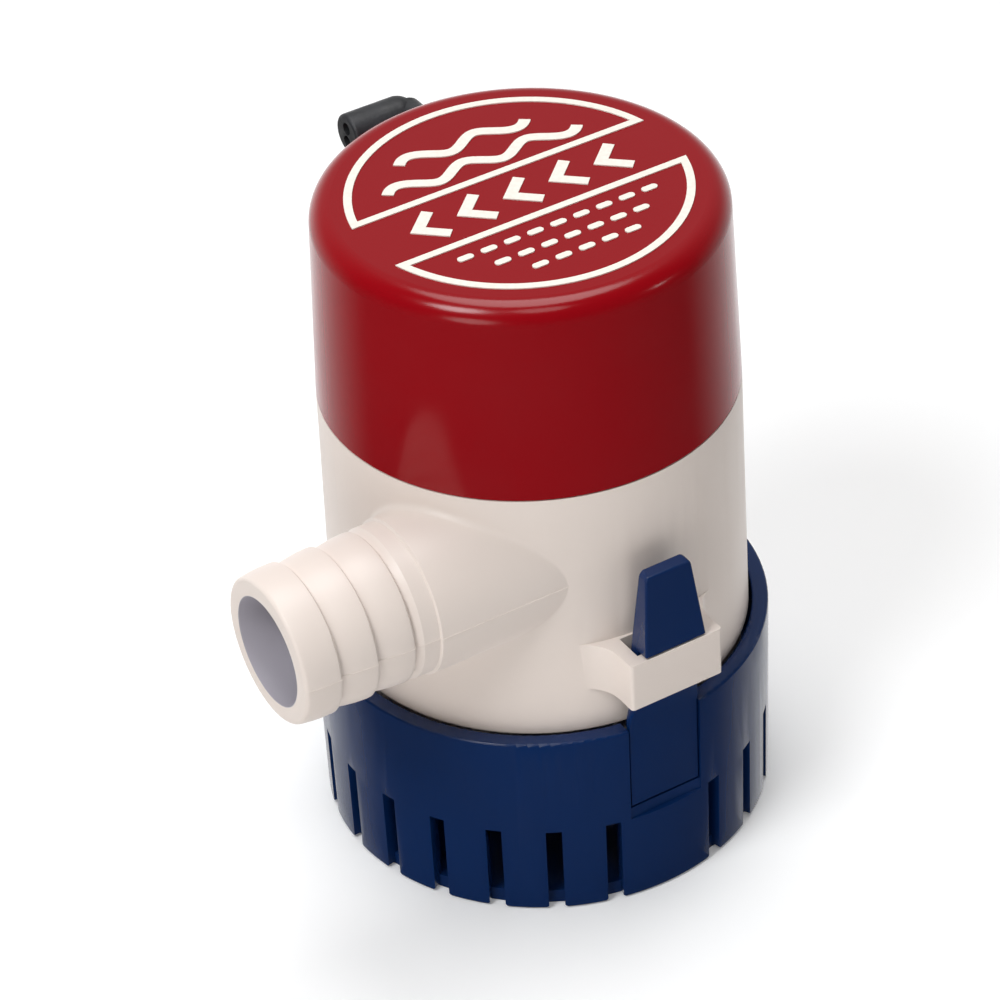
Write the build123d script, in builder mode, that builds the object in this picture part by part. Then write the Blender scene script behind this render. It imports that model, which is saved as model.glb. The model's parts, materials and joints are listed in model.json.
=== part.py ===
from build123d import *
from math import asin, cos, degrees, radians, sin
import os

# A small submersible bilge pump for a boat. A strainer base screws to the
# hull, and two latches hold the pump on it. The motor stands in a dry cup
# inside the pump housing. Its impeller lifts water past the outside of the cup
# and out through the hose barb.
# Millimetres. Origin: centre of the base's underside. +Z up, hose barb
# towards -X, latches on the -Y and +Y sides, cable boot on the +Y side.

# --- driving dimensions: strainer base ---
base_height = 28.2
base_rim_r = 30.15
base_draft = 0.2
base_wall = 2.2
base_floor = 2.0
slot_count = 24
slot_width = 2.1
slot_height = 13.3
slot_reach = 4.6
slot_notch = 1.3
slot_mouth = 0.5
seat_height = 17.0
rib_count = 8
rib_width = 1.6
rib_depth = 3.8
screw_spacing = 38.0
screw_hole_r = 2.1
screw_boss_r = 4.6
screw_boss_height = 4.0

# --- driving dimensions: pump housing ---
rim_gap = 0.4
housing_height = 36.3
housing_draft = 0.5
housing_wall = 2.95
skirt_wall = 1.9
plate_seat_depth = 0.6
flange_depth = 3.5
flange_ledge = 1.4
flange_ledge_width = 2.2

# --- driving dimensions: hose barb ---
barb_bore_r = 7.25
barb_crest_r = 9.95
barb_tip_r = 9.6
barb_tip_round = 0.6
barb_valley_r = 9.35
barb_lead = 4.25
barb_pitch = 5.15
barb_bulge = 0.12
barb_land = 0.5
barb_drop = 0.3
barb_count = 3
clip_lead = 1.0
clip_land_r = 10.0
clip_land = 2.2
barrel_r = 10.35
barrel_step = 0.2
barrel_blend = 1.0
barb_reach = 19.85
barb_inset = 12.85
barb_below_top = 13.5
seam_height = 0.24
seam_rise = 0.07

# --- driving dimensions: latches ---
loop_height = 7.1
loop_gap_above_rim = 6.3
loop_overhang = 2.85
loop_bar = 1.5
loop_half_width = 6.8
loop_arm = 1.9
loop_flare = 3.2
loop_straight = 2.8
tab_width = 10.2
tab_side_gap = 0.3
panel_recess = 0.75
tab_panel = 1.3
tab_height = 11.5
tab_top_width = 6.6
tab_top_thickness = 1.75
hinge_height = 15.0
hinge_r = 0.8
hook_overlap = 1.4
move_gap = 0.3

# --- driving dimensions: cap, print and cable boot ---
cap_height = 27.5
cap_wall = 2.0
cap_draft = 1.05
cap_edge_r = 2.8
print_rise = 0.15
print_line = 1.05
print_margin = 4.9
print_upper_chord = 4.9
print_lower_chord = -6.0
boot_r = 2.8
boot_neck_r = 2.4
boot_neck_x = 2.8
boot_stand_off = 6.8
boot_mouth_x = -6.0
boot_depth = 6.5
lead_r = 0.8
lead_pitch = 1.9

# --- driving dimensions: motor, cup and impeller ---
shaft_r = 1.15
running_gap = 0.03
seat_gap = 0.1
cup_wall = 2.2
cup_floor = 2.5
cup_above_ledge = 5.0
cup_flange = 2.0
seal_r = 4.5
seal_height = 2.2
retainer = 0.8
can_r = 14.0
can_wall = 1.0
motor_headroom = 13.0
bearing_r = 3.0
bearing_length = 4.0
bearing_boss = 2.0
core_lift = 8.0
magnet = 1.8
magnet_seat_gap = 0.1
magnet_air = 0.5
magnet_span = 130
coil_width = 8.0
coil_overhang = 2.6
coil_gap = 2.1
commutator_r = 3.0
commutator_length = 5.0
impeller_clearance = 1.2
volute_gap = 5.1
vane_height = 8.6
vane_width = 1.4
vane_count = 6
shroud = 1.5
retainer_gap = 1.1
eye_r = 8.0
plate = 2.2

# --- derived sizes and places ---
base_floor_r = base_rim_r - base_draft
base_bore_r = base_rim_r - base_wall
housing_foot_r = base_bore_r - rim_gap
housing_bore_r = housing_foot_r - housing_wall
housing_top_z = base_height + housing_height
housing_top_r = housing_foot_r - housing_draft
skirt_r = housing_bore_r + skirt_wall
plate_seat_r = housing_bore_r + plate_seat_depth
ledge_z = housing_top_z - flange_depth
barb_tip_x = -housing_foot_r - barb_reach
barb_y = -housing_foot_r + barb_inset
barb_z = housing_top_z - barb_below_top
tab_panel_y = base_rim_r - panel_recess
loop_reach = base_rim_r + loop_overhang
loop_z = base_height + loop_gap_above_rim
loop_top_z = loop_z + loop_height
cap_top_r = housing_top_r - cap_draft
cap_top_z = housing_top_z + cap_height
cap_ceiling_z = cap_top_z - cap_wall
print_ring_r = cap_top_r - print_margin
boot_y = cap_top_r + boot_stand_off
lead_z = cap_top_z - boot_depth
hinge_y = tab_panel_y - tab_panel + 0.1
press_angle = degrees(asin((hook_overlap + 0.15) / (loop_top_z - hinge_height)))
impeller_r = housing_bore_r - volute_gap
impeller_z = seat_height + plate + impeller_clearance
impeller_top_z = impeller_z + vane_height + shroud
retainer_z = impeller_top_z + retainer_gap
pocket_top_z = retainer_z + retainer + seal_height
cup_floor_z = pocket_top_z - 0.1
cup_inner_floor_z = cup_floor_z + cup_floor
cup_top_z = ledge_z + cup_above_ledge
cup_bore_r = can_r + 0.2
cup_r = cup_bore_r + cup_wall
can_z = cup_inner_floor_z + bearing_boss
can_top_z = cap_ceiling_z - motor_headroom
can_bore_r = can_r - can_wall
magnet_bore_r = can_bore_r - magnet_seat_gap - magnet
core_r = magnet_bore_r - magnet_air
core_z = can_z + core_lift
bell_z = can_top_z
upper_bearing_z = bell_z - 0.4
commutator_z = upper_bearing_z - 1.9 - commutator_length
core_length = commutator_z - coil_gap - coil_overhang - core_z

slot_angles = [k * 360 / slot_count for k in range(slot_count) if k * 360 / slot_count not in (90, 270)]


def polar(radius, angle):
    """A place at this radius and bearing, with its local x pointing outwards."""
    return Location((radius * cos(radians(angle)), radius * sin(radians(angle)), 0), (0, 0, angle))


def polar_point(radius, angle):
    """The point at this radius and bearing."""
    return (radius * cos(radians(angle)), radius * sin(radians(angle)))


def housing_r(z):
    """Outer radius of the drafted housing wall at height z."""
    return housing_foot_r - housing_draft * (z - base_height) / housing_height


def tab_inner(z):
    """Distance of a latch tab's inner face from the axis, so that the pressed tab clears the housing."""
    return housing_r(z) + move_gap + 0.1 + (z - hinge_height) * sin(radians(press_angle))


def outline(*points):
    """A flat outline in the XZ plane from (radius, height) points, ready to revolve."""
    with BuildSketch(Plane.XZ) as profile:
        with BuildLine():
            Polyline(*points, close=True)
        make_face()
    return profile.sketch


def ring_outline(outer, inner, low, high):
    """The outline of a plain ring or tube about Z."""
    return outline((inner, low), (outer, low), (outer, high), (inner, high))


def sector_face(outer, inner, middle, span, height):
    """A flat ring segment at this height, centred on the bearing `middle`."""
    first = middle - span / 2
    last = middle + span / 2
    with BuildSketch(Plane.XY.offset(height)) as sector:
        with BuildLine():
            ThreePointArc(polar_point(outer, first), polar_point(outer, middle), polar_point(outer, last))
            Line(polar_point(outer, last), polar_point(inner, last))
            ThreePointArc(polar_point(inner, last), polar_point(inner, middle), polar_point(inner, first))
            Line(polar_point(inner, first), polar_point(outer, first))
        make_face()
    return sector.sketch


# --- strainer base: a slotted cup with screw bosses, housing ribs and latch sockets ---
socket_wall_y = tab_panel_y - 2.6
with BuildPart() as strainer_base:
    shell = outline(
        (0, 0),
        (base_floor_r, 0),
        (base_rim_r, base_height),
        (base_bore_r, base_height),
        (base_bore_r, base_floor),
        (0, base_floor),
    )
    revolve(shell, axis=Axis.Z)
    rim_edges = edges().filter_by(GeomType.CIRCLE).filter_by(lambda e: e.center().Z > base_height - 0.1)
    fillet(rim_edges, 0.35)
    fillet(edges().filter_by(GeomType.CIRCLE).filter_by(lambda e: e.center().Z < 0.1), 0.4)
    with BuildSketch(Plane.XY.offset(base_floor)):
        for k in range(rib_count):
            with Locations(polar(base_bore_r - rib_depth / 2 + 0.4, (k + 0.5) * 360 / rib_count)):
                Rectangle(rib_depth + 0.8, rib_width)
    extrude(amount=seat_height - base_floor)
    with BuildSketch(Plane.XY.offset(base_floor)):
        with Locations((-screw_spacing / 2, 0), (screw_spacing / 2, 0)):
            Circle(screw_boss_r)
    extrude(amount=screw_boss_height - base_floor)
    with BuildSketch(Plane.XY):
        with Locations((-screw_spacing / 2, 0), (screw_spacing / 2, 0)):
            Circle(screw_hole_r)
    extrude(amount=screw_boss_height, mode=Mode.SUBTRACT)
    # water slots: through the wall above the floor, and a shallow flared notch in its edge
    with BuildSketch(Plane.XY.offset(base_floor)):
        with Locations(*[polar(base_floor_r, angle) for angle in slot_angles]):
            Rectangle(2 * slot_reach, slot_width)
    extrude(amount=slot_height - base_floor, mode=Mode.SUBTRACT)
    with BuildSketch(Plane.XY):
        with Locations(*[polar(base_floor_r, angle) for angle in slot_angles]):
            Rectangle(2 * slot_notch, slot_width)
    extrude(amount=base_floor, mode=Mode.SUBTRACT)
    with BuildSketch(Plane.XY):
        with Locations(*[polar(base_floor_r, angle) for angle in slot_angles]):
            Rectangle(2 * slot_notch, slot_width + 2 * slot_mouth)
    extrude(amount=slot_mouth, taper=44, mode=Mode.SUBTRACT)
    for side in (-1, 1):
        # latch socket: a shelf behind the wall, then the window that the tab fills
        with BuildSketch(Plane.XY.offset(hinge_height - 2.4)):
            with Locations((0, side * (socket_wall_y + base_bore_r + 0.5) / 2)):
                Rectangle(tab_width + 2 * tab_side_gap, base_bore_r + 0.5 - socket_wall_y)
        extrude(amount=2.4)
        with BuildSketch(Plane.XY.offset(hinge_height)):
            with Locations((0, side * base_rim_r)):
                Rectangle(tab_width + 2 * tab_side_gap, 2 * (base_rim_r - socket_wall_y))
        extrude(amount=base_height, mode=Mode.SUBTRACT)
        with BuildSketch(Plane.XY.offset(slot_height)):
            with Locations((0, side * (tab_panel_y + 1.0))):
                Rectangle(tab_width + 2 * tab_side_gap, 2.0)
        extrude(amount=base_height, mode=Mode.SUBTRACT)
        with Locations(Location((0, side * hinge_y, hinge_height), (0, 90, 0))):
            Cylinder(hinge_r + 0.05, tab_width + 2 * tab_side_gap, mode=Mode.SUBTRACT)
strainer_base.part.label = "strainer_base"


def latch_tab(side):
    """One sprung latch: hinge bead, panel, arm through the loop, hook and finger piece."""
    hook_z = loop_top_z + move_gap
    top_z = hook_z + tab_height
    hook_y = loop_reach - 0.1
    with BuildPart() as tab:
        with BuildSketch(Plane.YZ.offset(-tab_width / 2)):
            with BuildLine():
                Polyline(
                    (side * (hinge_y - hinge_r * 0.75), hinge_height),
                    (side * (hinge_y - hinge_r * 0.75), hinge_height + 1.4),
                    (side * (tab_panel_y - tab_panel), hinge_height + 1.9),
                    (side * (tab_panel_y - tab_panel), base_height - 4.5),
                    (side * tab_inner(base_height), base_height),
                    (side * tab_inner(hook_z), hook_z),
                    (side * tab_inner(top_z), top_z),
                    (side * (tab_inner(top_z) + tab_top_thickness), top_z - 0.3),
                    (side * hook_y, hook_z),
                    (side * (loop_reach - loop_bar - 0.4), hook_z),
                    (side * (loop_reach - loop_bar - 0.5), loop_z),
                    (side * tab_panel_y, base_height),
                    (side * tab_panel_y, hinge_height + 0.35),
                    (side * (hinge_y + hinge_r * 0.75), hinge_height + 0.35),
                    (side * (hinge_y + hinge_r * 0.75), hinge_height),
                    close=True,
                )
            make_face()
        extrude(amount=tab_width)
        with Locations(Location((0, side * hinge_y, hinge_height), (0, 90, 0))):
            Cylinder(hinge_r, tab_width)
        # the arm narrows to pass the loop, and the finger piece tapers to its rounded top
        arm_half = loop_half_width - loop_arm - 0.4
        with BuildSketch(Plane.XZ) as face_view:
            with BuildLine():
                Polyline(
                    (-tab_width / 2, 0),
                    (tab_width / 2, 0),
                    (tab_width / 2, base_height + 1.5),
                    (arm_half, base_height + 4.5),
                    (arm_half, hook_z),
                    (tab_top_width / 2, top_z),
                    (-tab_top_width / 2, top_z),
                    (-arm_half, hook_z),
                    (-arm_half, base_height + 4.5),
                    (-tab_width / 2, base_height + 1.5),
                    close=True,
                )
            make_face()
            fillet(face_view.vertices().group_by(Axis.Y)[-1], 1.1)
        extrude(amount=2 * loop_reach, both=True, mode=Mode.INTERSECT)
        front_edges = tab.edges().filter_by(lambda e: e.center().Z > hook_z + 1.0 and e.length > 0.9)
        fillet(front_edges, 0.3)
    return tab


latch_tab_front = latch_tab(-1)
latch_tab_front.part.label = "latch_tab_front"
latch_tab_rear = latch_tab(1)
latch_tab_rear.part.label = "latch_tab_rear"

# --- pump housing: drafted barrel, skirt, latch loops and the tangential hose barb ---
with BuildPart() as pump_housing:
    barrel = outline(
        (0, seat_height),
        (skirt_r, seat_height),
        (skirt_r, base_height - 1.2),
        (housing_foot_r, base_height - 0.2),
        (housing_foot_r, base_height),
        (housing_top_r, housing_top_z),
        (0, housing_top_z),
    )
    revolve(barrel, axis=Axis.Z)
    # latch loops: a bar on two arms that flare into the wall
    for side in (-1, 1):
        root_y = side * (housing_r(loop_z) - 4.0)
        bend_y = side * (loop_reach - loop_straight)
        flare_x = loop_half_width + loop_flare
        flare_y = side * (housing_r(loop_top_z) ** 2 - flare_x**2) ** 0.5
        with BuildSketch(Plane.XY.offset(loop_z)) as loop:
            with BuildLine():
                Polyline((-flare_x, flare_y), (-flare_x, root_y), (flare_x, root_y), (flare_x, flare_y))
                TangentArc((loop_half_width, bend_y), (flare_x, flare_y), tangent=(0, -side))
                TangentArc((-loop_half_width, bend_y), (-flare_x, flare_y), tangent=(0, -side))
                Polyline(
                    (loop_half_width, bend_y),
                    (loop_half_width, side * loop_reach),
                    (-loop_half_width, side * loop_reach),
                    (-loop_half_width, bend_y),
                )
            make_face()
            fillet(loop.vertices().filter_by(lambda v: abs(v.Y) > loop_reach - 0.1), 0.5)
        extrude(amount=loop_height)
        opening_far_y = loop_reach - loop_bar
        opening_near_y = housing_r(loop_z)
        with BuildSketch(Plane.XY.offset(loop_z)) as opening:
            with Locations((0, side * (opening_far_y + opening_near_y) / 2)):
                Rectangle(2 * (loop_half_width - loop_arm), opening_far_y - opening_near_y)
        extrude(amount=loop_height, mode=Mode.SUBTRACT)
    # hose barb: crests that swell from the tip and drop sharply, a plain land for the hose
    # clip, then the barrel that runs into the wall
    clip_x = barb_tip_x + barb_lead + (barb_count - 1) * barb_pitch + barb_land + barb_drop + clip_lead
    barrel_x = clip_x + clip_land + barrel_step
    with BuildSketch(Plane.XY.offset(barb_z)) as barb:
        with BuildLine() as barb_rim:
            foot = (barb_tip_x, barb_y - barb_tip_r)
            for k in range(barb_count):
                crest_x = barb_tip_x + barb_lead + k * barb_pitch
                crest = (crest_x, barb_y - barb_crest_r)
                swell = ((foot[0] + crest_x) / 2, (foot[1] + crest[1]) / 2 - barb_bulge)
                ThreePointArc(foot, swell, crest)
                foot = (crest_x + barb_land + barb_drop, barb_y - barb_valley_r)
                Polyline(crest, (crest_x + barb_land, crest[1]), foot)
            Polyline(foot, (clip_x, barb_y - clip_land_r), (clip_x + clip_land, barb_y - clip_land_r))
            Line((clip_x + clip_land, barb_y - clip_land_r), (barrel_x, barb_y - barrel_r))
            Line((barrel_x, barb_y - barrel_r), (0, barb_y - barrel_r))
            Polyline((0, barb_y - barrel_r), (0, barb_y), (barb_tip_x, barb_y), (barb_tip_x, barb_y - barb_tip_r))
        make_face()
        tip_corner = barb.vertices().filter_by(lambda v: v.X < barb_tip_x + 0.1 and v.Y < barb_y - 1)
        fillet(tip_corner, barb_tip_round)
        crest_corners = barb.vertices().filter_by(
            lambda v: v.X < clip_x - 0.1 and v.Y < barb_y - barb_crest_r + 0.05
        )
        fillet(crest_corners, barb_land / 2.5)
    revolve(axis=Axis((0, barb_y, barb_z), (1, 0, 0)))
    wall_curves = edges().filter_by(GeomType.BSPLINE).filter_by(lambda e: e.center().X < -0.3 * housing_foot_r)
    blend_edges = wall_curves.filter_by(lambda e: e.bounding_box().max.Z > barb_z)
    fillet(blend_edges, barrel_blend)
    # the moulding seam along both sides of the barb, a little proud of its outline
    with BuildSketch(Plane.XY.offset(barb_z)):
        for side in (-1, 1):
            with Locations((0, side * seam_rise)):
                add(barb.sketch if side < 0 else mirror(barb.sketch, Plane.XZ.offset(-barb_y), mode=Mode.PRIVATE))
    extrude(amount=seam_height / 2, both=True)
    # hollow: plate seat, water chamber, flange ledge, open top, and the bore of the barb
    chamber = outline(
        (0, seat_height),
        (plate_seat_r, seat_height),
        (plate_seat_r, seat_height + plate + seat_gap),
        (housing_bore_r, seat_height + plate + seat_gap),
        (housing_bore_r, ledge_z - flange_ledge - 1.0),
        (housing_bore_r - flange_ledge_width, ledge_z - flange_ledge),
        (housing_bore_r - flange_ledge_width, ledge_z),
        (housing_bore_r, ledge_z),
        (housing_bore_r, housing_top_z),
        (0, housing_top_z),
    )
    revolve(chamber, axis=Axis.Z, mode=Mode.SUBTRACT)
    with BuildSketch(Plane.YZ.offset(barb_tip_x)):
        with Locations((barb_y, barb_z)):
            Circle(barb_bore_r)
    extrude(amount=-barb_tip_x - 10.0, mode=Mode.SUBTRACT)
pump_housing.part.label = "pump_housing"

# --- inlet plate: closes the impeller chamber from below, with the suction eye ---
with BuildPart() as inlet_plate:
    revolve(ring_outline(plate_seat_r - seat_gap, eye_r, seat_height, seat_height + plate), axis=Axis.Z)
    revolve(ring_outline(eye_r + 1.5, eye_r, seat_height - 3.0, seat_height + plate), axis=Axis.Z)
inlet_plate.part.label = "inlet_plate"

# --- impeller: hub, top shroud and curved vanes ---
with BuildPart() as impeller:
    with BuildSketch(Plane.XY.offset(impeller_z)):
        Circle(4.0)
    extrude(amount=vane_height + shroud)
    with BuildSketch(Plane.XY.offset(impeller_z + vane_height)):
        Circle(impeller_r)
    extrude(amount=shroud)
    with BuildSketch(Plane.XY.offset(impeller_z)):
        for k in range(vane_count):
            bearing = k * 360 / vane_count
            with BuildLine():
                ThreePointArc(
                    polar_point(3.4, bearing),
                    polar_point(impeller_r * 0.55, bearing - 16),
                    polar_point(impeller_r - vane_width / 2, bearing - 50),
                )
            trace(line_width=vane_width)
    extrude(amount=vane_height)
    with BuildSketch(Plane.XY.offset(impeller_z)):
        Circle(shaft_r)
    extrude(amount=vane_height + shroud, mode=Mode.SUBTRACT)
impeller.part.label = "impeller"

# --- motor cup: keeps the motor dry, with a flange on the housing ledge ---
flange_r = housing_bore_r - 0.2
ring_r = 0.6
ring_mid_r = housing_bore_r - flange_ledge_width / 2 - 0.1
with BuildPart() as motor_cup:
    wall = outline(
        (shaft_r + 1.0, pocket_top_z),
        (seal_r, pocket_top_z),
        (seal_r, retainer_z),
        (seal_r + 2.0, retainer_z),
        (seal_r + 2.0, cup_floor_z),
        (cup_r, cup_floor_z),
        (cup_r, ledge_z),
        (flange_r, ledge_z),
        (flange_r, ledge_z + cup_flange),
        (cup_r, ledge_z + cup_flange),
        (cup_r, cup_top_z),
        (cup_bore_r, cup_top_z),
        (cup_bore_r, cup_inner_floor_z),
        (shaft_r + 1.0, cup_inner_floor_z),
    )
    revolve(wall, axis=Axis.Z)
    groove = ring_outline(
        ring_mid_r + ring_r + 0.1, ring_mid_r - ring_r - 0.1, ledge_z, ledge_z + 2 * ring_r + 0.05
    )
    revolve(groove, axis=Axis.Z, mode=Mode.SUBTRACT)
motor_cup.part.label = "motor_cup"

with BuildPart() as cup_seal_ring:
    with BuildSketch(Plane.XZ):
        with Locations((ring_mid_r, ledge_z + ring_r)):
            Circle(ring_r)
    revolve(axis=Axis.Z)
cup_seal_ring.part.label = "cup_seal_ring"

with BuildPart() as shaft_seal:
    lip = outline(
        (shaft_r + 0.6, pocket_top_z - seal_height),
        (seal_r, pocket_top_z - seal_height),
        (seal_r, pocket_top_z),
        (shaft_r + 0.8, pocket_top_z),
        (shaft_r + 0.8, pocket_top_z - 0.6),
        (shaft_r + running_gap, pocket_top_z - 1.0),
        (shaft_r + running_gap, pocket_top_z - 1.3),
    )
    revolve(lip, axis=Axis.Z)
shaft_seal.part.label = "shaft_seal"

with BuildPart() as seal_retainer:
    revolve(ring_outline(seal_r, shaft_r + 1.2, retainer_z, retainer_z + retainer), axis=Axis.Z)
seal_retainer.part.label = "seal_retainer"

# --- motor can with its two magnets, the clip between them, and two sintered bearings ---
lower_bearing_z = cup_inner_floor_z + 0.3
with BuildPart() as motor_can:
    drawn_shell = outline(
        (shaft_r + 0.6, cup_inner_floor_z),
        (bearing_r + 1.2, cup_inner_floor_z),
        (bearing_r + 1.2, can_z),
        (can_r, can_z),
        (can_r, can_top_z),
        (can_bore_r, can_top_z),
        (can_bore_r, can_z + can_wall),
        (bearing_r, can_z + can_wall),
        (bearing_r, lower_bearing_z),
        (shaft_r + 0.6, lower_bearing_z),
    )
    revolve(drawn_shell, axis=Axis.Z)
    fillet(edges().filter_by(GeomType.CIRCLE).filter_by(lambda e: e.radius > can_r - 0.1).sort_by(Axis.Z)[0], 0.8)
motor_can.part.label = "motor_can"


def sintered_bearing(low):
    """One plain shaft bearing that starts at this height."""
    with BuildPart() as bearing:
        revolve(ring_outline(bearing_r, shaft_r + running_gap, low, low + bearing_length), axis=Axis.Z)
    return bearing


lower_bearing = sintered_bearing(lower_bearing_z)
lower_bearing.part.label = "lower_bearing"
upper_bearing = sintered_bearing(upper_bearing_z)
upper_bearing.part.label = "upper_bearing"


def field_magnet(middle):
    """One arc magnet on the can's wall, centred on this bearing."""
    with BuildPart() as magnet_arc:
        face = sector_face(magnet_bore_r + magnet, magnet_bore_r, middle, magnet_span, core_z - 1.5)
        extrude(face, amount=core_length + 3.0)
    return magnet_arc


magnet_right = field_magnet(0)
magnet_right.part.label = "magnet_right"
magnet_left = field_magnet(180)
magnet_left.part.label = "magnet_left"
with BuildPart() as magnet_clip:
    spring_strip = sector_face(can_bore_r - 0.1, can_bore_r - 0.7, 90, 180 - magnet_span - 1.0, core_z)
    extrude(spring_strip, amount=core_length)
magnet_clip.part.label = "magnet_clip"

# --- rotor: shaft, three-pole core, coils, commutator and thrust washers ---
shaft_top_z = upper_bearing_z + bearing_length + 0.5
with BuildPart() as motor_shaft:
    with BuildSketch(Plane.XY.offset(impeller_z - 1.0)):
        Circle(shaft_r)
    extrude(amount=shaft_top_z - impeller_z + 1.0)
motor_shaft.part.label = "motor_shaft"

pole_count = 3
arm_width = 3.6
pole_shoe = 2.0
with BuildPart() as armature_core:
    with BuildSketch(Plane.XY.offset(core_z)):
        Circle(3.2)
        for k in range(pole_count):
            with Locations(polar((core_r - 0.5) / 2, k * 360 / pole_count + 90)):
                Rectangle(core_r - 0.5, arm_width)
        Circle(shaft_r, mode=Mode.SUBTRACT)
    extrude(amount=core_length)
    for k in range(pole_count):
        shoe_face = sector_face(core_r, core_r - pole_shoe, k * 360 / pole_count + 90, 100, core_z)
        extrude(shoe_face, amount=core_length)
armature_core.part.label = "armature_core"

coil_inner_r = 3.7
coil_outer_r = core_r - pole_shoe - 0.9
with BuildPart() as windings:
    for k in range(pole_count):
        with BuildSketch(Plane.XY.offset(core_z - coil_overhang)):
            with Locations(polar((coil_inner_r + coil_outer_r) / 2, k * 360 / pole_count + 90)):
                RectangleRounded(coil_outer_r - coil_inner_r, coil_width, 1.0)
        extrude(amount=core_length + 2 * coil_overhang)
        with BuildSketch(Plane.XY.offset(core_z - 0.05)):
            with Locations(polar((coil_inner_r + coil_outer_r) / 2, k * 360 / pole_count + 90)):
                Rectangle(coil_outer_r, arm_width + 0.1)
        extrude(amount=core_length + 0.1, mode=Mode.SUBTRACT)
windings.part.label = "windings"

with BuildPart() as commutator:
    with BuildSketch(Plane.XY.offset(commutator_z)):
        Circle(commutator_r)
        Circle(shaft_r, mode=Mode.SUBTRACT)
        with Locations(*[polar(commutator_r, k * 120 + 30) for k in range(3)]):
            Rectangle(2.0, 0.4, mode=Mode.SUBTRACT)
    extrude(amount=commutator_length)
commutator.part.label = "commutator"

washer = 0.8
washer_r = 2.7
with BuildPart() as thrust_washers:
    for washer_z in (lower_bearing_z + bearing_length + 0.3, upper_bearing_z - 0.3 - washer):
        revolve(ring_outline(washer_r, shaft_r, washer_z, washer_z + washer), axis=Axis.Z)
thrust_washers.part.label = "thrust_washers"

# --- end bell: plugs the can, holds the upper bearing, brushes and terminals ---
terminal_x = bearing_r + 4.4
terminal_thick = 0.8
terminal_width = 3.2
bell = 2.0
bearing_top_z = upper_bearing_z + bearing_length
bell_boss_r = bearing_r + 1.6
with BuildPart() as end_bell:
    plug = outline(
        (bearing_r, upper_bearing_z - 0.1),
        (bell_boss_r, upper_bearing_z - 0.1),
        (bell_boss_r, bell_z),
        (can_bore_r - 1.3, bell_z),
        (can_bore_r - 1.3, bell_z - 3.0),
        (can_bore_r - 0.05, bell_z - 3.0),
        (can_bore_r - 0.05, bell_z),
        (can_r, bell_z),
        (can_r, bell_z + bell),
        (bell_boss_r, bell_z + bell),
        (bell_boss_r, bearing_top_z + 1.9),
        (0, bearing_top_z + 1.9),
        (0, bearing_top_z + 1.1),
        (shaft_r + 0.6, bearing_top_z + 1.1),
        (shaft_r + 0.6, bearing_top_z),
        (bearing_r, bearing_top_z),
    )
    revolve(plug, axis=Axis.Z)
    with BuildSketch(Plane.XY.offset(bell_z)):
        with Locations((-terminal_x, 0), (terminal_x, 0)):
            Rectangle(terminal_thick + 0.1, terminal_width + 0.1)
    extrude(amount=bell, mode=Mode.SUBTRACT)
end_bell.part.label = "end_bell"

brush_face = commutator_r + 0.1
arm_thick = 0.4
arm_x = terminal_x - terminal_thick / 2 - arm_thick


def brush_gear(side):
    """The carbon brush, its spring arm and its terminal on one side of the commutator."""
    with BuildPart() as brush:
        with BuildSketch(Plane.XY.offset(commutator_z + 1.0)):
            with Locations((side * (brush_face + arm_x) / 2, 0)):
                Rectangle(arm_x - brush_face, 3.0)
        extrude(amount=3.0)
    with BuildPart() as arm:
        with BuildSketch(Plane.XY.offset(commutator_z + 0.6)):
            with Locations((side * (arm_x + arm_thick / 2), 0)):
                Rectangle(arm_thick, 2.8)
        extrude(amount=bell_z - 0.2 - commutator_z - 0.6)
    with BuildPart() as terminal:
        with BuildSketch(Plane.XY.offset(bell_z - 3.2)):
            with Locations((side * terminal_x, 0)):
                Rectangle(terminal_thick, terminal_width)
        extrude(amount=lead_z + 1.9 - bell_z + 3.2)
        with Locations(Location((side * terminal_x, 0, lead_z - 3.2), (0, 90, 0))):
            Cylinder(0.6, 2.0, mode=Mode.SUBTRACT)
    return brush, arm, terminal


brush_left, brush_arm_left, terminal_left = brush_gear(-1)
brush_right, brush_arm_right, terminal_right = brush_gear(1)
brush_left.part.label = "brush_left"
brush_arm_left.part.label = "brush_arm_left"
terminal_left.part.label = "terminal_left"
brush_right.part.label = "brush_right"
brush_arm_right.part.label = "brush_arm_right"
terminal_right.part.label = "terminal_right"

# --- motor cap: drafted cover with a spigot that clamps the gasket on the cup flange ---
gasket = 0.6
gasket_z = ledge_z + cup_flange
spigot_z = gasket_z + gasket
spigot_bore_r = housing_bore_r - 1.8
cap_bore_r = cap_top_r - cap_wall
grommet_y = cap_bore_r - 2.2
cap_foot_chamfer = 0.2
with BuildPart() as motor_cap:
    cover = outline(
        (0, cap_top_z),
        (cap_top_r, cap_top_z),
        (housing_top_r, housing_top_z),
        (housing_bore_r - 0.15, housing_top_z),
        (housing_bore_r - 0.15, spigot_z),
        (spigot_bore_r, spigot_z),
        (spigot_bore_r, housing_top_z + 2.0),
        (cap_bore_r, housing_top_z + 5.0),
        (cap_bore_r, cap_ceiling_z),
        (0, cap_ceiling_z),
    )
    revolve(cover, axis=Axis.Z)
    fillet(edges().filter_by(GeomType.CIRCLE).sort_by(Axis.Z)[-1], cap_edge_r)
    foot_edge = edges().filter_by(GeomType.CIRCLE).filter_by(lambda e: abs(e.radius - housing_top_r) < 0.01)
    chamfer(foot_edge, cap_foot_chamfer)
    with BuildSketch(Plane.XY.offset(bell_z + bell + seat_gap)):
        for k in range(3):
            with Locations(polar(can_r - 1.6, k * 120 + 150)):
                Rectangle(2.4, 1.6)
    extrude(amount=cap_ceiling_z - bell_z - bell)
    with BuildSketch(Plane.XZ):
        with Locations((boot_neck_x, lead_z)):
            Circle(boot_neck_r + 0.05)
    extrude(amount=-cap_top_r - 3.0, mode=Mode.SUBTRACT)
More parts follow.
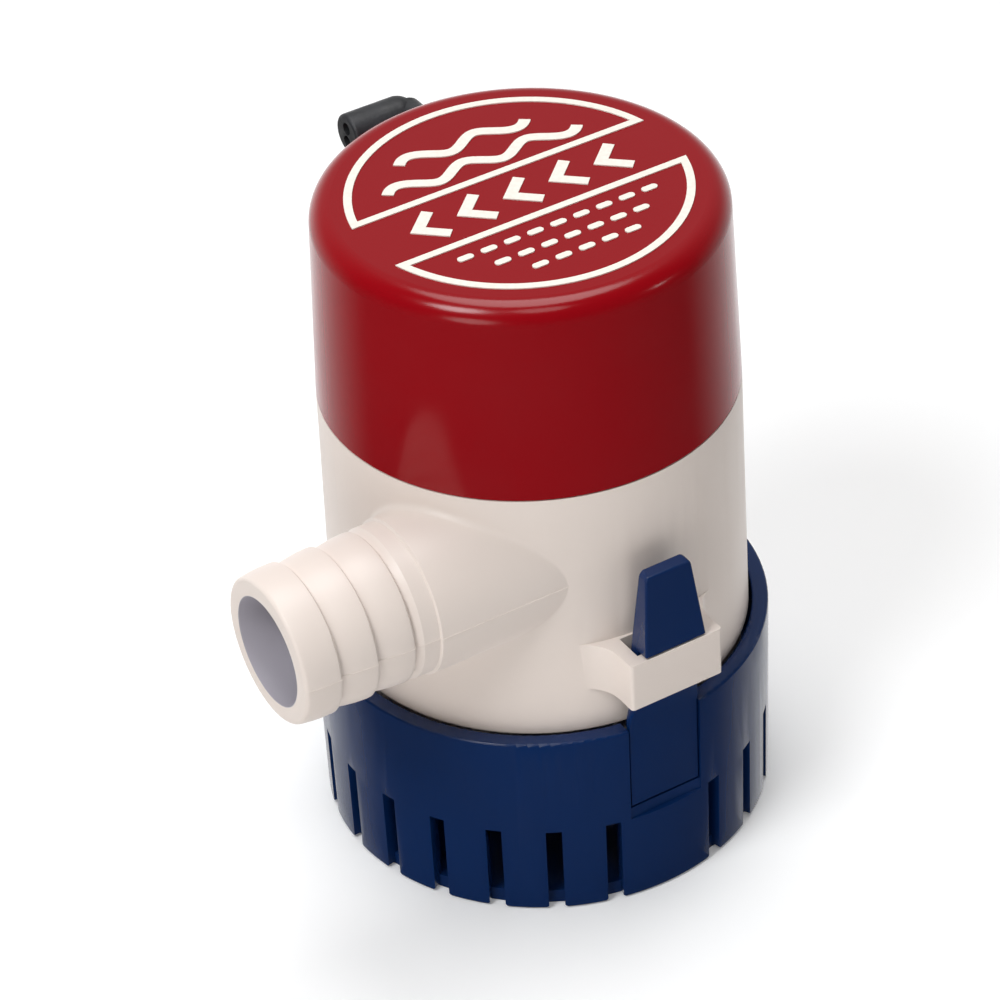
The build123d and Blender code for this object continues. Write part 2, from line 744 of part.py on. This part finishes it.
motor_cap.part.label = "motor_cap"

with BuildPart() as cap_gasket:
    revolve(ring_outline(flange_r, spigot_bore_r, gasket_z, spigot_z), axis=Axis.Z)
cap_gasket.part.label = "cap_gasket"

# --- cable boot: a rubber elbow through the cap wall, with two lead bores ---
lead_bend_r = 2.2


def lead_path(lift):
    """The leads' common centre line in the boot, at this height above the boot's own."""
    mouth = Vector(boot_mouth_x - 1.0, boot_y, lead_z + lift)
    corner = Vector(boot_neck_x, boot_y, lead_z + lift)
    inner = Vector(boot_neck_x, grommet_y - 1.0, lead_z + lift)
    return FilletPolyline(mouth, corner, inner, radius=lead_bend_r, mode=Mode.PRIVATE)


with BuildPart() as cable_boot:
    with BuildSketch(Plane.YZ.offset(boot_mouth_x)):
        with Locations((boot_y, lead_z)):
            Circle(boot_r)
    extrude(amount=boot_neck_x - 1.3 - boot_mouth_x)
    with Locations((boot_neck_x - 1.3, boot_y, lead_z)):
        Sphere(boot_r)
    with BuildSketch(Plane.XZ.offset(-boot_y)):
        with Locations((boot_neck_x, lead_z)):
            Circle(boot_neck_r)
    extrude(amount=boot_y - grommet_y)
    with BuildSketch(Plane.XZ.offset(-grommet_y - 1.1)):
        with Locations((boot_neck_x, lead_z)):
            Circle(boot_neck_r + 0.8)
    extrude(amount=1.1)
    mouth_edge = edges().filter_by(GeomType.CIRCLE).sort_by(Axis.X)[0]
    fillet(mouth_edge, 0.5)
    for lift in (-lead_pitch / 2, lead_pitch / 2):
        with BuildLine() as bore_line:
            add(lead_path(lift))
        with BuildSketch(Plane.YZ.offset(boot_mouth_x - 1.0)):
            with Locations((boot_y, lead_z + lift)):
                Circle(lead_r + 0.05)
        sweep(path=bore_line.line, mode=Mode.SUBTRACT)
cable_boot.part.label = "cable_boot"


def lead(side, lift):
    """One insulated lead, from inside the boot's mouth to the outer face of its terminal."""
    height = lead_z + lift
    beside_x = side * (terminal_x + terminal_thick / 2 + lead_r + 0.05)
    start = Vector(boot_mouth_x + 2.5, boot_y, height)
    with BuildPart() as wire:
        with BuildLine() as route:
            FilletPolyline(
                start,
                Vector(boot_neck_x, boot_y, height),
                Vector(boot_neck_x, can_r - 1.0, height),
                Vector(beside_x, terminal_width / 2 + 3.9, height),
                Vector(beside_x, 0.2 - terminal_width / 2, height),
                radius=[lead_bend_r, 5.0, 2.4],
            )
        with BuildSketch(Plane(start, x_dir=(0, 1, 0), z_dir=(1, 0, 0))):
            Circle(lead_r)
        sweep(path=route.line)
    return wire


lead_positive = lead(1, lead_pitch / 2)
lead_positive.part.label = "lead_positive"
lead_negative = lead(-1, -lead_pitch / 2)
lead_negative.part.label = "lead_negative"

# --- printed label: two framed panels with plain wave and flow marks, no lettering ---
print_inner_r = print_ring_r - print_line / 2
print_outer_r = print_ring_r + print_line / 2


def panel(radius, chord, side):
    """A disc on the cap's top, kept only to one side of a chord."""
    with BuildSketch(Plane.XY.offset(cap_top_z)) as kept:
        Circle(radius)
        with Locations((0, chord - side * radius)):
            Rectangle(3 * radius, 2 * radius, mode=Mode.SUBTRACT)
    return kept.sketch


def half_width(row):
    """Half the clear width between the frame's sides at this row."""
    return (print_inner_r**2 - row**2) ** 0.5


upper_frame = panel(print_outer_r, print_upper_chord - print_line / 2, 1)
upper_frame -= panel(print_inner_r, print_upper_chord + print_line / 2, 1)
lower_frame = panel(print_outer_r, print_lower_chord + print_line / 2, -1)
lower_frame -= panel(print_inner_r, print_lower_chord - print_line / 2, -1)
wave_length = 4.6
dash_pitch = 3.3
arrow_pitch = 6.6
arrow_half_height = 2.85
band_y = (print_upper_chord + print_lower_chord) / 2
with BuildPart() as printed_label:
    extrude(upper_frame, amount=print_rise)
    extrude(lower_frame, amount=print_rise)
    with BuildSketch(Plane.XY.offset(cap_top_z)):
        # waves in the upper panel
        for row in (print_upper_chord + 3.5, print_upper_chord + 8.5):
            half_waves = int(2 * (half_width(row + 1.9) - 2.4) / wave_length)
            steps = [k / 2 for k in range(2 * half_waves + 1)]
            with BuildLine():
                Spline(*[((k - half_waves / 2) * wave_length, row + 1.1 * sin(radians(180 * k))) for k in steps])
            trace(line_width=1.5)
        # flow arrows in the band between the panels
        for k in range(-2, 3):
            x = k * arrow_pitch
            with BuildLine():
                Polyline(
                    (x + 1.4, band_y + arrow_half_height),
                    (x - 1.6, band_y),
                    (x + 1.4, band_y - arrow_half_height),
                )
            trace(line_width=1.5)
        # rows of short dashes in the lower panel
        for row in (print_lower_chord - 3.0, print_lower_chord - 6.2, print_lower_chord - 9.4):
            dashes = 2 * int((half_width(row - 0.5) - 4.5) / dash_pitch) + 1
            with Locations((0, row)):
                with GridLocations(dash_pitch, 1, dashes, 1):
                    SlotOverall(2.2, 1.0)
    extrude(amount=print_rise)
printed_label.part.label = "printed_label"

pieces = [
    strainer_base,
    latch_tab_front,
    latch_tab_rear,
    pump_housing,
    inlet_plate,
    impeller,
    motor_cup,
    cup_seal_ring,
    shaft_seal,
    seal_retainer,
    motor_can,
    magnet_left,
    magnet_right,
    magnet_clip,
    lower_bearing,
    upper_bearing,
    motor_shaft,
    armature_core,
    windings,
    commutator,
    thrust_washers,
    end_bell,
    brush_left,
    brush_right,
    brush_arm_left,
    brush_arm_right,
    terminal_left,
    terminal_right,
    motor_cap,
    cap_gasket,
    cable_boot,
    lead_positive,
    lead_negative,
    printed_label,
]
os.makedirs("parts", exist_ok=True)
for piece in pieces:
    export_step(piece.part, f"parts/{piece.part.label}.step")
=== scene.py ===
import json
from math import cos, radians, sin

import bmesh
import bpy
from mathutils import Matrix, Vector


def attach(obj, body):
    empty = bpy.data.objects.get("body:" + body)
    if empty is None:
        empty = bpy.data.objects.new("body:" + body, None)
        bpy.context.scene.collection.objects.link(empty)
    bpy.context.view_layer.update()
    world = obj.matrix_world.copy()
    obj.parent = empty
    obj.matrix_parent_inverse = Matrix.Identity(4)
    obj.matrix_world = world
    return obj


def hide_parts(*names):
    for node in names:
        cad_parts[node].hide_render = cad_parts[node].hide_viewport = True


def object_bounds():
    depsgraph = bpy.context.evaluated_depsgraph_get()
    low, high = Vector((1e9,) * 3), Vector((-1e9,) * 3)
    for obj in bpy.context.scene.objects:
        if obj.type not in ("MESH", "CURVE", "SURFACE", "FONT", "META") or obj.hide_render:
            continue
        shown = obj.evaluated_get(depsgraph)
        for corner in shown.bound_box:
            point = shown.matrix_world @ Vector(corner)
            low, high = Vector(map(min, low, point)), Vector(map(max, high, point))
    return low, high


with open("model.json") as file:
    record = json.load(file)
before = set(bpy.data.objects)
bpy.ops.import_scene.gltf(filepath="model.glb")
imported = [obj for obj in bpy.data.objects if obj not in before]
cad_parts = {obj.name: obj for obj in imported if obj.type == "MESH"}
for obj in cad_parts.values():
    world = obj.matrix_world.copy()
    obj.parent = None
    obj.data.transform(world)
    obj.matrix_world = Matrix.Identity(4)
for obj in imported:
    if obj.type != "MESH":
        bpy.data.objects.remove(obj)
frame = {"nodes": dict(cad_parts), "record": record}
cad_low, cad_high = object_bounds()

MM = 0.001
nodes = frame["nodes"]

# The viewpoint: a long lens, above and a little to the hose side.
LENS = 144.0
CAMERA_DISTANCE = 0.516
CAMERA_AZIMUTH = -29.8
CAMERA_ELEVATION = 37.1
CAMERA_ROLL = -3.3
AIM_OFFSET = Vector((0.0034, -0.0013, 0.0005))

# The surround: bright low down behind the pump, dim overhead and in front of it. The wall's
# foot and top are heights on the unit sphere of directions, and its sides how far behind.
LOW_BEHIND = 1.3
HIGH_BEHIND = 0.45
IN_FRONT = 0.05
WALL_FOOT = -0.1
WALL_TOP = 0.35
WALL_SIDES = 0.1
WALL_MIDDLE = 0.85

# The lights, round softboxes that face the pump: degrees round from the front, degrees up,
# distance and width in metres, power in watts, colour.
LIGHTS = {
    "key_softbox": (-74, 52, 0.8, 0.30, 3.2, (0.96, 0.98, 1.0)),
    "fill_softbox": (-20, 60, 1.0, 0.35, 1.0, (1.0, 1.0, 1.0)),
    "top_softbox": (150, 78, 1.1, 0.8, 8.2, (1.0, 1.0, 1.0)),
    "low_softbox": (-58, 6, 1.2, 0.5, 2.3, (1.0, 0.97, 0.94)),
    "side_softbox": (42, 18, 0.9, 0.10, 0.25, (1.0, 1.0, 1.0)),
}
PUMP_MIDDLE = Vector((0, 0, 0.045))

FLOOR_RADIUS = 3.0
FLOOR_GAP = 0.1 * MM

# The plastics: base colour and the slightly darker shade that it drifts to.
RED = (0.26, 0.0015, 0.005)
RED_SHADE = (0.25, 0.0013, 0.0048)
CREAM = (0.77, 0.68, 0.62)
CREAM_SHADE = (0.75, 0.66, 0.60)
NAVY = (0.0022, 0.020, 0.092)
NAVY_SHADE = (0.0020, 0.0185, 0.087)

# The painted shade inside the hose bore: its colour, how wide it is and how deep it runs.
BORE_PAINTED_SHADE = (0.43, 0.405, 0.45)
BORE_R = 7.3 * MM
PAINTED_SHADE_END_X = -9.5 * MM

# The mouldings whose edges are rounded: the new piece's name and the radius.
SOFT_MOULDINGS = {
    "strainer_base": ("strainer_moulding", 0.22 * MM),
    "pump_housing": ("housing_moulding", 0.30 * MM),
    "latch_tab_front": ("front_latch_moulding", 0.20 * MM),
    "latch_tab_rear": ("rear_latch_moulding", 0.20 * MM),
}
SHARP_ANGLE = 32.0
SMOOTH_ANGLE = 40.0
FLAT_ANGLE = 0.5
MERGE_DISTANCE = 0.002 * MM


def set_camera():
    """Makes the camera that looks at the pump from the hose side."""
    centre = (Vector(cad_low) + Vector(cad_high)) / 2
    aim = centre + AIM_OFFSET
    azimuth = radians(CAMERA_AZIMUTH)
    elevation = radians(CAMERA_ELEVATION)
    roll = radians(CAMERA_ROLL)
    towards = Vector((sin(azimuth) * cos(elevation), -cos(azimuth) * cos(elevation), sin(elevation)))
    right = (-towards).cross(Vector((0, 0, 1))).normalized()
    up = right.cross(-towards)
    turned_right = right * cos(roll) + up * sin(roll)
    turned_up = up * cos(roll) - right * sin(roll)
    camera = bpy.data.objects.new("camera", bpy.data.cameras.new("camera"))
    camera.data.lens = LENS
    camera.data.clip_start = 0.01
    camera.data.clip_end = 20.0
    turn = Matrix((turned_right, turned_up, towards)).transposed().to_4x4()
    camera.matrix_world = Matrix.Translation(aim + towards * CAMERA_DISTANCE) @ turn
    bpy.context.scene.collection.objects.link(camera)
    bpy.context.scene.camera = camera


def add_light(name, azimuth, elevation, distance, size, power, colour):
    """A round soft light that faces the pump."""
    lamp = bpy.data.lights.new(name, "AREA")
    lamp.shape = "DISK"
    lamp.size = size
    lamp.energy = power
    lamp.color = colour
    light = bpy.data.objects.new(name, lamp)
    a = radians(azimuth)
    e = radians(elevation)
    towards = Vector((sin(a) * cos(e), -cos(a) * cos(e), sin(e)))
    place = PUMP_MIDDLE + towards * distance
    light.matrix_world = Matrix.Translation(place) @ towards.to_track_quat("Z", "Y").to_matrix().to_4x4()
    bpy.context.scene.collection.objects.link(light)


def lay_floor():
    """A plain pale floor, a little lit by itself as a light table is."""
    shape = bmesh.new()
    bmesh.ops.create_circle(shape, cap_ends=True, radius=FLOOR_RADIUS, segments=96)
    bmesh.ops.translate(shape, vec=(0, 0, cad_low[2] - FLOOR_GAP), verts=shape.verts)
    mesh = bpy.data.meshes.new("floor")
    shape.to_mesh(mesh)
    shape.free()
    floor = bpy.data.objects.new("floor", mesh)
    bpy.context.scene.collection.objects.link(floor)
    floor.visible_glossy = False
    material, _, surface = shader("pale_floor")
    surface.inputs["Base Color"].default_value = (0.93, 0.93, 0.93, 1)
    surface.inputs["Roughness"].default_value = 0.9
    surface.inputs["Specular IOR Level"].default_value = 0.1
    surface.inputs["Emission Color"].default_value = (1, 1, 1, 1)
    surface.inputs["Emission Strength"].default_value = 0.12
    mesh.materials.append(material)


def set_surround():
    """A surround that is brighter behind the pump, and the soft studio lights."""
    world = bpy.data.worlds.new("surround")
    world.use_nodes = True
    tree = world.node_tree
    place = tree.nodes.new("ShaderNodeTexCoord")
    behind = tree.nodes.new("ShaderNodeVectorMath")
    behind.operation = "DOT_PRODUCT"
    azimuth = radians(CAMERA_AZIMUTH)
    behind.inputs[1].default_value = (-sin(azimuth), cos(azimuth), 0)
    tree.links.new(place.outputs["Generated"], behind.inputs[0])
    direction = tree.nodes.new("ShaderNodeSeparateXYZ")
    tree.links.new(place.outputs["Generated"], direction.inputs[0])
    wall = ramp(tree, direction.outputs["Z"], WALL_FOOT, WALL_TOP, LOW_BEHIND, HIGH_BEHIND)
    strength = tree.nodes.new("ShaderNodeMapRange")
    strength.inputs["From Min"].default_value = WALL_SIDES
    strength.inputs["From Max"].default_value = WALL_MIDDLE
    strength.inputs["To Min"].default_value = IN_FRONT
    tree.links.new(wall, strength.inputs["To Max"])
    tree.links.new(behind.outputs["Value"], strength.inputs["Value"])
    tree.links.new(strength.outputs["Result"], tree.nodes["Background"].inputs["Strength"])
    tree.nodes["Background"].inputs["Color"].default_value = (1.0, 1.0, 1.0, 1)
    bpy.context.scene.world = world
    bpy.context.scene.view_settings.view_transform = "Standard"
    for name, settings in LIGHTS.items():
        add_light(name, *settings)


# --- materials ---


def shader(name):
    """A new material with its surface shader, and the node tree that they are in."""
    material = bpy.data.materials.new(name)
    material.use_nodes = True
    tree = material.node_tree
    return material, tree, tree.nodes["Principled BSDF"]


def add_node(tree, kind, **settings):
    """Adds one shader node and sets what is named: attributes, or sockets where the name is one."""
    made = tree.nodes.new(kind)
    for key, value in settings.items():
        if hasattr(made, key):
            setattr(made, key, value)
        else:
            made.inputs[key.replace("_", " ").title()].default_value = value
    return made


def noise(tree, scale, detail=2.0, roughness=0.5, stretch=(1, 1, 1)):
    """Noise on object coordinates, stretched along the axes, as a factor socket."""
    place = add_node(tree, "ShaderNodeTexCoord")
    mapping = add_node(tree, "ShaderNodeMapping")
    mapping.inputs["Scale"].default_value = stretch
    texture = add_node(tree, "ShaderNodeTexNoise", scale=scale, detail=detail, roughness=roughness)
    tree.links.new(place.outputs["Object"], mapping.inputs["Vector"])
    tree.links.new(mapping.outputs["Vector"], texture.inputs["Vector"])
    return texture.outputs["Fac"]


def ramp(tree, factor, low, high, start, end):
    """Maps a factor's stretch low..high on to start..end."""
    made = add_node(tree, "ShaderNodeMapRange")
    for socket, value in (("From Min", low), ("From Max", high), ("To Min", start), ("To Max", end)):
        made.inputs[socket].default_value = value
    tree.links.new(factor, made.inputs["Value"])
    return made.outputs["Result"]


def blend_colours(tree, factor, first, second):
    """Mixes two colours, or a colour and a socket, by a factor."""
    made = tree.nodes.new("ShaderNodeMix")
    made.data_type = "RGBA"
    tree.links.new(factor, made.inputs[0])
    for socket, value in ((made.inputs[6], first), (made.inputs[7], second)):
        if isinstance(value, tuple):
            socket.default_value = (*value, 1)
        else:
            tree.links.new(value, socket)
    return made.outputs[2]


def bump(tree, surface, heights):
    """Chains bumps, each a (factor, depth in metres), on to the surface's normal."""
    normal = None
    for factor, depth in heights:
        made = add_node(tree, "ShaderNodeBump")
        made.inputs["Strength"].default_value = 1.0
        made.inputs["Distance"].default_value = depth
        tree.links.new(factor, made.inputs["Height"])
        if normal:
            tree.links.new(normal, made.inputs["Normal"])
        normal = made.outputs["Normal"]
    tree.links.new(normal, surface.inputs["Normal"])


def moulded_plastic(name, colour, shade, gloss, grain, depth, sheen=0.5):
    """Injection-moulded plastic: slow colour drift, fine grain and faint handling marks."""
    material, tree, surface = shader(name)
    drift = ramp(tree, noise(tree, 30, 1), 0.3, 0.7, 0, 1)
    base = blend_colours(tree, drift, colour, shade)
    tree.links.new(base, surface.inputs["Base Color"])
    handled = noise(tree, 90, 2, 0.5)
    tree.links.new(ramp(tree, handled, 0.3, 0.7, gloss, gloss + 0.05), surface.inputs["Roughness"])
    hairlines = ramp(tree, noise(tree, 260, 2, 0.5, (1, 1, 0.08)), 0.62, 0.7, 0, 1)
    bump(tree, surface, [(noise(tree, 1 / grain, 2), depth), (hairlines, depth * 0.4)])
    surface.inputs["Specular IOR Level"].default_value = sheen
    return material


def housing_plastic():
    """The housing's cream plastic, with a grey painted shade inside the hose bore."""
    material = moulded_plastic("cream_plastic", CREAM, CREAM_SHADE, 0.36, 0.0008, 0.000006, 0.4)
    tree = material.node_tree
    surface = tree.nodes["Principled BSDF"]
    unshaded_colour = surface.inputs["Base Color"].links[0].from_socket
    barb = next(mount for mount in frame["record"]["mounts"] if mount["name"] == "hose_barb")
    place = add_node(tree, "ShaderNodeTexCoord")
    across = add_node(tree, "ShaderNodeVectorMath", operation="MULTIPLY_ADD")
    across.inputs[1].default_value = (0, 1, 1)
    across.inputs[2].default_value = (0, -barb["pos_m"][1], -barb["pos_m"][2])
    distance = add_node(tree, "ShaderNodeVectorMath", operation="LENGTH")
    tree.links.new(place.outputs["Object"], across.inputs[0])
    tree.links.new(across.outputs["Vector"], distance.inputs[0])
    # Painted shade: the inside of the hose bore is coloured grey to stand in for the shade that falls in
    # it.
    inside = ramp(tree, distance.outputs["Value"], BORE_R - 0.05 * MM, BORE_R + 0.05 * MM, 1, 0)
    along = add_node(tree, "ShaderNodeSeparateXYZ")
    tree.links.new(place.outputs["Object"], along.inputs[0])
    outer_end = ramp(tree, along.outputs["X"], PAINTED_SHADE_END_X - 0.5 * MM, PAINTED_SHADE_END_X + 0.5 * MM, 1, 0)
    painted_shade_mask = add_node(tree, "ShaderNodeMath", operation="MULTIPLY")
    tree.links.new(inside, painted_shade_mask.inputs[0])
    tree.links.new(outer_end, painted_shade_mask.inputs[1])
    painted_shade_colour = blend_colours(tree, painted_shade_mask.outputs["Value"], unshaded_colour, BORE_PAINTED_SHADE)
    tree.links.new(painted_shade_colour, surface.inputs["Base Color"])
    return material


def soft_rubber(name, colour):
    """Moulded rubber with a dusty bloom."""
    material, tree, surface = shader(name)
    bloom = ramp(tree, noise(tree, 220, 5, 0.6), 0.42, 0.72, 0, 1)
    dusty = blend_colours(tree, bloom, colour, tuple(c * 2.2 for c in colour))
    tree.links.new(dusty, surface.inputs["Base Color"])
    tree.links.new(ramp(tree, noise(tree, 600, 3), 0.3, 0.7, 0.42, 0.62), surface.inputs["Roughness"])
    bump(tree, surface, [(noise(tree, 2600, 3), 0.00003), (noise(tree, 420, 2), 0.00006)])
    return material


def machined_metal(name, colour, gloss, stretch):
    """Bare metal with turning or rolling marks along the given stretch."""
    material, tree, surface = shader(name)
    marks = noise(tree, 900, 3, 0.6, stretch)
    turned = blend_colours(tree, marks, tuple(c * 0.75 for c in colour), colour)
    tree.links.new(turned, surface.inputs["Base Color"])
    tree.links.new(ramp(tree, marks, 0.3, 0.7, gloss, gloss + 0.18), surface.inputs["Roughness"])
    surface.inputs["Metallic"].default_value = 1.0
    bump(tree, surface, [(marks, 0.00001)])
    return material


def wound_wire(name, colour):
    """Enamelled copper wire, laid in turns up the coil."""
    material, tree, surface = shader(name)
    place = add_node(tree, "ShaderNodeTexCoord")
    turns = add_node(tree, "ShaderNodeTexWave", scale=900.0, distortion=0.6)
    turns.bands_direction = "Z"
    tree.links.new(place.outputs["Object"], turns.inputs["Vector"])
    wire = turns.outputs["Fac"]
    laid = blend_colours(tree, wire, tuple(c * 0.4 for c in colour), colour)
    tree.links.new(laid, surface.inputs["Base Color"])
    surface.inputs["Metallic"].default_value = 0.8
    surface.inputs["Roughness"].default_value = 0.35
    bump(tree, surface, [(wire, 0.0002)])
    return material


def printed_ink(name, colour):
    """Pad-printed ink: slightly uneven cover and a satin face."""
    material, tree, surface = shader(name)
    cover = ramp(tree, noise(tree, 1400, 4), 0.4, 0.6, 0, 1)
    ink = blend_colours(tree, cover, colour, tuple(c * 0.93 for c in colour))
    tree.links.new(ink, surface.inputs["Base Color"])
    surface.inputs["Roughness"].default_value = 0.5
    bump(tree, surface, [(noise(tree, 3000, 2), 0.00001)])
    return material


materials = {
    "red_plastic": moulded_plastic("red_plastic", RED, RED_SHADE, 0.16, 0.0009, 0.000004, 0.3),
    "white_plastic": housing_plastic(),
    "navy_plastic": moulded_plastic("navy_plastic", NAVY, NAVY_SHADE, 0.22, 0.0009, 0.000003, 0.35),
    "black_plastic": moulded_plastic(
        "black_plastic", (0.02, 0.02, 0.02), (0.03, 0.03, 0.03), 0.5, 0.0006, 0.00002
    ),
    "washer_plastic": moulded_plastic("nylon", (0.7, 0.68, 0.6), (0.66, 0.63, 0.55), 0.45, 0.0006, 0.00001),
    "ferrite": moulded_plastic("ferrite", (0.06, 0.06, 0.065), (0.09, 0.09, 0.09), 0.6, 0.0004, 0.00003),
    "carbon": moulded_plastic("carbon", (0.03, 0.03, 0.03), (0.05, 0.05, 0.05), 0.55, 0.0003, 0.00003),
    "black_rubber": soft_rubber("black_rubber", (0.011, 0.0115, 0.0135)),
    "lead_brown": soft_rubber("brown_insulation", (0.12, 0.045, 0.02)),
    "lead_black": soft_rubber("black_insulation", (0.012, 0.012, 0.012)),
    "stainless": machined_metal("stainless", (0.62, 0.62, 0.62), 0.2, (0.2, 0.2, 3)),
    "plated_steel": machined_metal("plated_steel", (0.56, 0.56, 0.55), 0.3, (1, 1, 0.2)),
    "spring_steel": machined_metal("spring_steel", (0.3, 0.31, 0.34), 0.3, (1, 1, 0.2)),
    "lamination_steel": machined_metal("lamination_steel", (0.34, 0.34, 0.36), 0.35, (0.3, 0.3, 6)),
    "bronze": machined_metal("bronze", (0.55, 0.36, 0.16), 0.35, (1, 1, 1)),
    "commutator_copper": machined_metal("commutator_copper", (0.72, 0.36, 0.2), 0.25, (0.2, 0.2, 4)),
    "tinned_brass": machined_metal("tinned_brass", (0.62, 0.58, 0.45), 0.3, (1, 1, 0.3)),
    "copper_wire": wound_wire("copper_wire", (0.6, 0.22, 0.08)),
    "white_print": printed_ink("white_print", (0.86, 0.80, 0.72)),
}

for part in frame["record"]["subparts"]:
    mesh = nodes[part["node"]].data
    mesh.materials.clear()
    mesh.materials.append(materials[part["material_slot"]])


# --- pieces with softened edges ---


def soften_edges(node, name, radius):
    """Rebuilds one moulding with its sharp edges rounded off, as a real mould leaves them."""
    shape = bmesh.new()
    shape.from_mesh(nodes[node].data)
    bmesh.ops.remove_doubles(shape, verts=shape.verts, dist=MERGE_DISTANCE)
    bmesh.ops.dissolve_limit(shape, angle_limit=radians(FLAT_ANGLE), verts=shape.verts, edges=shape.edges)
    creases = [e for e in shape.edges if e.is_manifold and e.calc_face_angle() > radians(SHARP_ANGLE)]
    bmesh.ops.bevel(
        shape,
        geom=creases,
        offset=radius,
        segments=3,
        profile=0.5,
        affect="EDGES",
        clamp_overlap=True,
        material=-1,
    )
    mesh = bpy.data.meshes.new(name)
    shape.to_mesh(mesh)
    shape.free()
    mesh.polygons.foreach_set("use_smooth", [True] * len(mesh.polygons))
    mesh.set_sharp_from_angle(angle=radians(SMOOTH_ANGLE))
    piece = bpy.data.objects.new(name, mesh)
    bpy.context.scene.collection.objects.link(piece)
    part = next(part for part in frame["record"]["subparts"] if part["node"] == node)
    mesh.materials.append(materials[part["material_slot"]])
    body = next(body for body, members in frame["record"]["behaviour"]["bodies"].items() if node in members)
    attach(piece, body)
    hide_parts(node)


for node, (name, radius) in SOFT_MOULDINGS.items():
    soften_edges(node, name, radius)

set_camera()
lay_floor()
set_surround()
